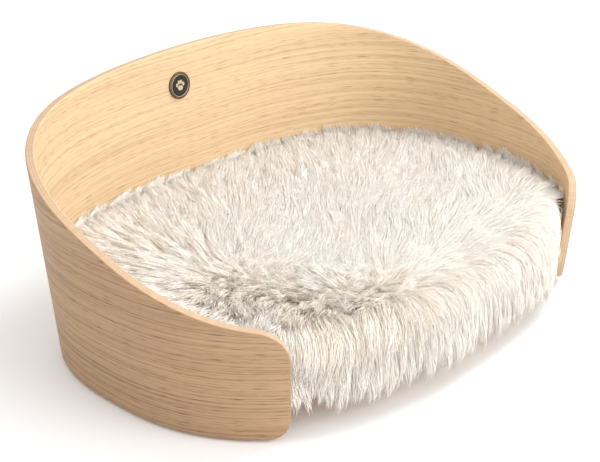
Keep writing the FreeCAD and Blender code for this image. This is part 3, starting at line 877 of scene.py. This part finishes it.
def closed_skin(name, low_height, high_height, material, slot, replaced, matted=0.0):
    """A closed sheet of the skin between two heights above the hide."""
    rings = np.concatenate([skin_grid(high_height, matted), skin_grid(low_height, 0.0)[::-1]])
    faces = grid_faces(len(rings), SKIN_SPOKES, closed=True)
    faces.append(tuple(range(SKIN_SPOKES)))
    faces.append(tuple(len(rings) * SKIN_SPOKES - 1 - j for j in range(SKIN_SPOKES)))
    piece = new_object(name, rings.reshape(-1, 3), faces, material, "sheepskin", slot, replaced)
    merge_seams(piece)
    return piece


def make_skin():
    # The undercoat's tones are darker than the strands' colours: painted shade for the deep wool between the
    # strands.
    tones = ((0.70, 0.64, 0.56), (0.80, 0.74, 0.66))
    shaded_undercoat = toned("shaded_undercoat", 60.0, 4.0, *tones, 0.9, (0.8, 0.002), relief=(400.0, 3.0))
    coat = closed_skin("wool_undercoat", 0.1 * MM, 6.0 * MM, shaded_undercoat, "wool", ["sheepskin_wool"], 1 * MM)
    tones = ((0.72, 0.60, 0.45), (0.82, 0.72, 0.58))
    suede = toned("suede", 25.0, 5.0, *tones, 0.85, (0.4, 0.0004), relief=(1500.0, 3.0), Sheen_Weight=0.3)
    return closed_skin("hide_sheet", -HIDE_THICKNESS, 0.0, suede, "hide", ["sheepskin_hide"]), coat


# ---- Cushion ----

COVER_THICKNESS = 1.2 * MM
CUSHION_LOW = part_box("foam_core")[0].z - COVER_THICKNESS
CUSHION_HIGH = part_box("foam_core")[1].z + COVER_THICKNESS
CUSHION_HALF_WIDTH = 274 * MM
CUSHION_BACK = 200 * MM
CUSHION_FRONT = 178 * MM
PIPING_RADIUS = 2.5 * MM
START_INSET = 3.5 * MM
SWELL = 6 * MM
SHOULDER_DRAW = 5 * MM
BLANK_INSET = 1.5 * MM
BLANK_SPOKES = 200
BLANK_RINGS = 9
SEAM_DRAW = 4 * MM  # the side band is drawn in this far at both seams, and fullest half way up
TOP_EASE = 2.2 * MM  # the top's edge dips this far to its seam
BOTTOM_EASE = 2.0 * MM
GATHER_DEPTH = 0.55 * MM
GATHERS = [(61, 1.0, 0.0), (37, 0.7, 1.3), (97, 0.5, 0.4)]  # waves round the edge: count, size, phase
PIPING_TOP = CUSHION_HIGH - 2.4 * MM
PIPING_BOTTOM = CUSHION_LOW + 2.5 * MM
CORD_SPOKES = 1400
CORD_SIDES = 12
CORD_PINCH = 0.04
CORD_INSET = 1.8 * MM
STITCHES = 260
STITCH_INSET = 0.9 * MM
STITCH_RISE = 3.4 * MM  # from the piping's middle
THREAD_SECTION = [(0.0, 0.4), (0.45, 0.0), (0.0, -0.4), (-0.3, 0.0)]
CLOTH_PRESSURE = 4.0
CLOTH_FRAMES = 20
VOXEL = 5 * MM
ZIP_CHANNEL_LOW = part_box("zip_end_stops")[0].x - 2 * MM
ZIP_CHANNEL_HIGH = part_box("zip_end_stops")[1].x + 2 * MM
CHANNEL_HALF_WIDTH = 14 * MM
CHANNEL_BELOW = 5 * MM  # the cutter starts this far under the cushion
CHANNEL_TOP = CUSHION_LOW + 8 * MM


def cushion_outline(count, inset):
    bearing = np.linspace(0, 2 * math.pi, count, endpoint=False)
    sizes = (CUSHION_HALF_WIDTH - inset, CUSHION_BACK - inset, CUSHION_FRONT - inset)
    return plan_points(bearing, oval_radius(bearing, *sizes))


def edge_reach(points):
    """Each point's plan place, its distance from the plan centre, how far the cushion's outline
    is that way, and how high it stands between the underside (0) and the top (1)."""
    plan = points[:, :2] - [0, PLAN_Y]
    bearing = np.arctan2(np.abs(plan[:, 0]), plan[:, 1])
    limit = oval_radius(bearing, CUSHION_HALF_WIDTH, CUSHION_BACK, CUSHION_FRONT)
    level = np.clip((points[:, 2] - CUSHION_LOW) / (CUSHION_HIGH - CUSHION_LOW), 0, 1)
    return plan, np.maximum(np.linalg.norm(plan, axis=1), 1e-9), limit, level


def cushion_blank():
    """The cushion before it swells: a rounded slab a little smaller than its cover."""
    base = cushion_outline(BLANK_SPOKES, START_INSET)
    low, high = CUSHION_LOW + BLANK_INSET, CUSHION_HIGH - BLANK_INSET
    middle, half = (low + high) / 2, (high - low) / 2
    rings = []
    for angle in np.linspace(-math.pi / 2, math.pi / 2, BLANK_RINGS):
        draw = SHOULDER_DRAW * (1 - math.sqrt(max(math.cos(angle), 0.0)))
        level = np.full((BLANK_SPOKES, 1), middle + half * math.sin(angle))
        rings.append(np.concatenate([base * (1 - draw / CUSHION_BACK) + [0, PLAN_Y], level], 1))
    faces = grid_faces(BLANK_RINGS, BLANK_SPOKES, closed=True)
    faces.append(tuple(range(BLANK_SPOKES))[::-1])
    faces.append(tuple((BLANK_RINGS - 1) * BLANK_SPOKES + i for i in range(BLANK_SPOKES)))
    return np.concatenate(rings), faces


def hold_cushion(points, start):
    """Caps how far the cover swells, keeps it inside its outline and flat where it rests."""
    move = points - start
    far = np.linalg.norm(move, axis=1)
    points = start + move * np.minimum(1, SWELL / np.maximum(far, 1e-9))[:, None]
    plan, radius, limit, level = edge_reach(points)
    limit = limit - SEAM_DRAW * np.abs(2 * level - 1) ** 3
    plan = plan * np.minimum(1, limit / radius)[:, None]
    top = CUSHION_HIGH + 0.2 * MM - TOP_EASE * smooth_step(0.80, 1.0, radius / limit)
    bottom = CUSHION_LOW + 0.1 * MM + BOTTOM_EASE * smooth_step(0.88, 1.0, radius / limit)
    z = np.clip(points[:, 2], bottom, top)
    return np.concatenate([plan + [0, PLAN_Y], z[:, None]], 1)


def read_points(mesh):
    co = np.zeros(len(mesh.vertices) * 3)
    mesh.vertices.foreach_get("co", co)
    return co.reshape(-1, 3)


def write_points(mesh, points):
    mesh.vertices.foreach_set("co", points.astype(np.float32).ravel())
    mesh.update()


def bake(piece):
    """Replaces a piece's mesh by its modified one and drops the modifiers."""
    graph = bpy.context.evaluated_depsgraph_get()
    mesh = bpy.data.meshes.new_from_object(piece.evaluated_get(graph), depsgraph=graph)
    piece.modifiers.clear()
    piece.data = mesh


def cover_cotton(name, colour):
    n = Nodes(name)
    where = n.coordinates("Object")
    warp = n.add("ShaderNodeTexWave", {"bands_direction": "X"}, Vector=where, Scale=320.0, Distortion=0.6)
    weft = n.add("ShaderNodeTexWave", {"bands_direction": "Y"}, Vector=where, Scale=320.0, Distortion=0.6)
    weave = n.mix(0.5, warp.outputs["Fac"], weft.outputs["Fac"])
    blotch = n.noise(where, 30.0, 4.0)
    tint = n.mix(1.0, colour, n.ramp(weave, [(0.2, 0.90), (0.8, 1.0)]), "MULTIPLY")
    tint = n.mix(1.0, tint, n.ramp(blotch, [(0.3, 0.95), (0.7, 1.02)]), "MULTIPLY")
    n.bump(weave, 0.5, 0.0004)
    return n.set(Base_Color=tint, Roughness=0.85, Sheen_Weight=0.25)


def swell(cover):
    """Lets the cover swell like a filled one, by a cloth simulation."""
    cloth = cover.modifiers.new("cloth", "CLOTH")
    cloth.settings.use_pressure = True
    cloth.settings.uniform_pressure_force = CLOTH_PRESSURE
    cloth.settings.effector_weights.gravity = 0.0
    for frame_number in range(1, CLOTH_FRAMES + 1):
        bpy.context.scene.frame_set(frame_number)
    bake(cover)
    bpy.context.scene.frame_set(1)


def fit_cover(points):
    """Scales the swollen cover to its outline and height."""
    depth = points[:, 1] - PLAN_Y
    scale = np.where(depth < 0, CUSHION_FRONT / -depth.min(), CUSHION_BACK / depth.max())
    low, high = points[:, 2].min(), points[:, 2].max()
    x = points[:, 0] * CUSHION_HALF_WIDTH / points[:, 0].max()
    z = CUSHION_LOW + (points[:, 2] - low) * (CUSHION_HIGH - CUSHION_LOW) / (high - low)
    return np.stack([x, PLAN_Y + depth * scale, z], 1)


def make_cushion():
    cotton = cover_cotton("cover_cotton", (0.82, 0.76, 0.66))
    panels = ["side_band", "top_panel", "back_underside", "front_underside"]
    soft = ["foam_core"] + ["cover_" + panel for panel in panels]
    cover = new_object("cushion_cover", *cushion_blank(), cotton, "cushion", "cover_cotton", soft)
    remesh = cover.modifiers.new("voxels", "REMESH")
    remesh.mode = "VOXEL"
    remesh.voxel_size = VOXEL
    bake(cover)
    start = read_points(cover.data)
    swell(cover)
    write_points(cover.data, hold_cushion(read_points(cover.data), start))
    smooth = cover.modifiers.new("smooth", "SMOOTH")
    smooth.factor = 0.5
    smooth.iterations = 2
    finer = cover.modifiers.new("finer", "SUBSURF")
    finer.levels = finer.render_levels = 1
    bake(cover)
    points = fit_cover(read_points(cover.data))
    write_points(cover.data, pucker(hold_cushion(points, points)))
    cut_channel(cover)
    shade_smooth(cover.data)
    cover.data.materials.clear()
    cover.data.materials.append(cotton)
    cord = cover_cotton("piping_cotton", (0.70, 0.62, 0.50))
    thread = Nodes("thread")
    thread.bump(thread.noise(thread.coordinates("Object"), 2500.0), 0.3, 0.0002)
    thread.set(Base_Color=(0.88, 0.84, 0.76), Roughness=0.7)
    for name, level, side in (("piping_top", PIPING_TOP, -1), ("piping_bottom", PIPING_BOTTOM, 1)):
        tube_round(name, level, cord)
        welt_stitches(name, level + side * STITCH_RISE, thread.material)


def pucker(points):
    """Small gathers in the side band that start at each seam and die out half way up."""
    plan, radius, limit, level = edge_reach(points)
    bearing = np.arctan2(plan[:, 0], plan[:, 1])
    ripple = sum(size * np.sin(bearing * count + phase) for count, size, phase in GATHERS)
    near = smooth_step(0.86, 0.99, radius / limit)
    seam = np.abs(2 * level - 1)
    scale = 1 - GATHER_DEPTH * (1 + ripple * (0.35 + 0.5 * seam)) * near / radius
    return np.concatenate([plan * scale[:, None] + [0, PLAN_Y], points[:, 2:]], 1)


def cut_channel(cover):
    """Opens the shallow channel that the zip lies in, across the underside."""
    low = (ZIP_CHANNEL_LOW, PLAN_Y - CHANNEL_HALF_WIDTH, CUSHION_LOW - CHANNEL_BELOW)
    high = (ZIP_CHANNEL_HIGH, PLAN_Y + CHANNEL_HALF_WIDTH, CHANNEL_TOP)
    points = [(x, y, z) for z in (low[2], high[2]) for y in (low[1], high[1]) for x in (low[0], high[0])]
    faces = [(0, 2, 3, 1), (4, 5, 7, 6), (0, 1, 5, 4), (2, 6, 7, 3), (0, 4, 6, 2), (1, 3, 7, 5)]
    mesh = bpy.data.meshes.new("channel")
    mesh.from_pydata(points, [], faces)
    cutter = link("channel", mesh)
    cut = cover.modifiers.new("channel", "BOOLEAN")
    cut.operation = "DIFFERENCE"
    cut.object = cutter
    cut.solver = "EXACT"
    bake(cover)
    bpy.data.objects.remove(cutter)


def ring_tube(name, path, facing, radius, sides, *mounting):
    """A closed tube along a flat closed path of points, whose plane faces that way."""
    step = unit(np.roll(path, -1, 0) - np.roll(path, 1, 0))
    aside = np.cross(step, facing)[:, None]
    angle = np.linspace(0, 2 * math.pi, sides, endpoint=False)[None, :, None]
    offset = aside * np.cos(angle) + np.array(facing) * np.sin(angle)
    points = (path[:, None] + offset * np.broadcast_to(radius, len(path))[:, None, None]).reshape(-1, 3)
    merge_seams(new_object(name, points, grid_faces(len(path), sides, closed=True, looped=True), *mounting))


def tube_round(name, level, material):
    """Piping round the cushion, pinched a little at each stitch of its seam."""
    plan = cushion_outline(CORD_SPOKES, CORD_INSET) + [0, PLAN_Y]
    path = np.concatenate([plan, np.full((CORD_SPOKES, 1), level)], 1)
    radius = PIPING_RADIUS * (1 - CORD_PINCH + CORD_PINCH * np.cos(np.arange(CORD_SPOKES) * 2 * math.pi / 4))
    mounting = (material, "cushion", "piping_cotton", [name])
    ring_tube(name + "_cord", path, (0, 0, 1), radius, CORD_SIDES, *mounting)


def welt_stitches(name, level, thread):
    """Stitches of the seam beside the piping, one short thread after another."""
    plan = cushion_outline(STITCHES * 4, STITCH_INSET)
    points, faces = [], []
    for first, second in zip(plan[::4], plan[2::4]):
        along = unit(second - first)
        out = np.array([-along[1], along[0]])
        start = len(points)
        for place in (first, second):
            for dx, dz in THREAD_SECTION:
                x, y = place + out * dx * MM
                points.append((x, y + PLAN_Y, level + dz * MM))
        faces += grid_faces(2, 4, start, closed=True)
        faces.append((start + 3, start + 2, start + 1, start))
        faces.append((start + 4, start + 5, start + 6, start + 7))
    new_object(name + "_stitches", points, faces, thread, "cushion", "piping_cotton")


# ---- Badge ----

BADGE_BEADS = 54
BEAD_RADIUS = 0.55 * MM
BEAD_CIRCLE = 14.05 * MM
BEAD_STAND = 0.75 * MM  # beads and wire stand this far out from the middle of the plate
WIRE_STAND = 0.62 * MM
WIRE_CIRCLE = 12.2 * MM
WIRE_RADIUS = 0.28 * MM
WIRE_SPOKES = 160
WIRE_SIDES = 8


def make_badge():
    """Beads and a fine wire round the bronze plate, on the slope of the wall's inner face."""
    low, high = (np.array(corner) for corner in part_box("badge_plate"))
    tones = ((0.09, 0.06, 0.035), (0.26, 0.185, 0.10))
    bronze = toned("bronze", 900.0, 4.0, *tones, (0.45, 0.3), (0.15, 0.0002), (0.35, 0.65), Metallic=1.0)
    up = np.array([0.0, LEAN, 1.0]) * COSINE_OF_LEAN
    out = np.array([0.0, -1.0, LEAN]) * COSINE_OF_LEAN

    def circle(count, radius, stand):
        angle = np.linspace(0, 2 * math.pi, count, endpoint=False)[:, None]
        around = np.sin(angle) * np.array([1.0, 0, 0]) + np.cos(angle) * up
        return (low + high) / 2 + out * stand + radius * around

    work = bmesh.new()
    for place in circle(BADGE_BEADS, BEAD_CIRCLE, BEAD_STAND):
        made = bmesh.ops.create_icosphere(work, subdivisions=2, radius=BEAD_RADIUS)
        bmesh.ops.translate(work, verts=made["verts"], vec=place)
    mesh = bpy.data.meshes.new("badge_beads")
    work.to_mesh(mesh)
    work.free()
    shade_smooth(mesh)
    mount("badge_beads", mesh, bronze, "shell")
    gold = metal_look("ring_gold", (0.62, 0.50, 0.34), (0.80, 0.69, 0.50), 0.35)
    wire = circle(WIRE_SPOKES, WIRE_CIRCLE, WIRE_STAND)
    ring_tube("badge_ring", wire, out, WIRE_RADIUS, WIRE_SIDES, gold, "shell", "badge_bronze")
    return bronze


# ---- Materials of the hard parts ----


def solid_wood(name, light, dark, stretch):
    n = Nodes(name)
    grain = n.noise(n.coordinates("Object", stretch), 1.0, 4.0, 0.55)
    fleck = n.noise(n.coordinates("Object", tuple(4 * s for s in stretch)), 1.0, 2.0)
    colour = n.mix(n.ramp(grain, [(0.3, 0.0), (0.65, 1.0)]), dark, light)
    colour = n.mix(1.0, colour, n.ramp(fleck, [(0.3, 0.92), (0.7, 1.02)]), "MULTIPLY")
    n.bump(fleck, 0.15, 0.0003)
    return n.set(Base_Color=colour, Roughness=n.ramp(fleck, [(0.3, 0.55), (0.7, 0.7)]))


def ridged(name, scale, distortion, dark, light, ends, rough, bump):
    """Ridges across the bed, a thread of the zip's tape or a tooth to each."""
    n = Nodes(name)
    wave = n.add("ShaderNodeTexWave", {"bands_direction": "X"}, Scale=scale, Distortion=distortion)
    n.put(wave.inputs["Vector"], n.coordinates("Object"))
    ridge = wave.outputs["Fac"]
    n.bump(ridge, *bump)
    return n.set(Base_Color=n.ramp(ridge, list(zip(ends, (dark, light)))), Roughness=rough)


def paint_nodes(bronze):
    beech = solid_wood("beech", (0.72, 0.50, 0.33), (0.60, 0.39, 0.25), (60, 60, 300))
    board = solid_wood("plywood_board", (0.74, 0.56, 0.38), (0.62, 0.44, 0.28), (14, 260, 260))
    steel = metal_look("screw_steel", (0.45, 0.44, 0.40), (0.62, 0.60, 0.55), 0.28)
    tones = ((0.10, 0.09, 0.08), (0.20, 0.18, 0.16))
    felt = toned("felt", 600.0, 4.0, *tones, 0.95, (0.8, 0.0006), Sheen_Weight=0.5)
    black = ((0.012, 0.012, 0.014), (0.03, 0.028, 0.026))
    gloss = {"relief": (120.0,), "Specular_IOR_Level": 0.25}
    enamel = toned("enamel", 300.0, 2.0, *black, 0.45, (0.05, 0.0003), **gloss)
    paw = metal_look("paw_gold", (0.62, 0.50, 0.32), (0.78, 0.66, 0.45), 0.3)
    tones = ((0.75, 0.75, 0.72), (0.85, 0.85, 0.82))
    adhesive = toned("adhesive", 500.0, 3.0, *tones, 0.5, (0.2, 0.0002))
    tones = ((0.60, 0.54, 0.45), (0.74, 0.68, 0.58))
    tape = ridged("zip_tape", 450.0, 1.0, *tones, (0.2, 0.8), 0.85, (0.5, 0.0003))
    tones = ((0.34, 0.30, 0.25), (0.72, 0.67, 0.58))
    nylon = ridged("nylon", 200.0, 0.0, *tones, (0.1, 0.7), 0.35, (1.0, 0.0008))
    nickel = metal_look("zip_nickel", (0.50, 0.49, 0.47), (0.66, 0.65, 0.62), 0.25)
    looks = {
        "base_board": board,
        "corner_block": beech,
        "felt_glide": felt,
        "block_screws": steel,
        "badge_plate": bronze,
        "badge_enamel": enamel,
        "badge_paw": paw,
        "badge_adhesive": adhesive,
        "_tape": tape,
        "_teeth": nylon,
        "zip_end_stops": steel,
        "zip_slider": nickel,
    }
    for node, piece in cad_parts.items():
        for part, material in looks.items():
            if part in node:
                piece.data.materials.clear()
                piece.data.materials.append(material)


make_stage()
make_camera()
make_wall()
paint_nodes(make_badge())
make_cushion()
hide, coat = make_skin()
[coat] + make_wool()
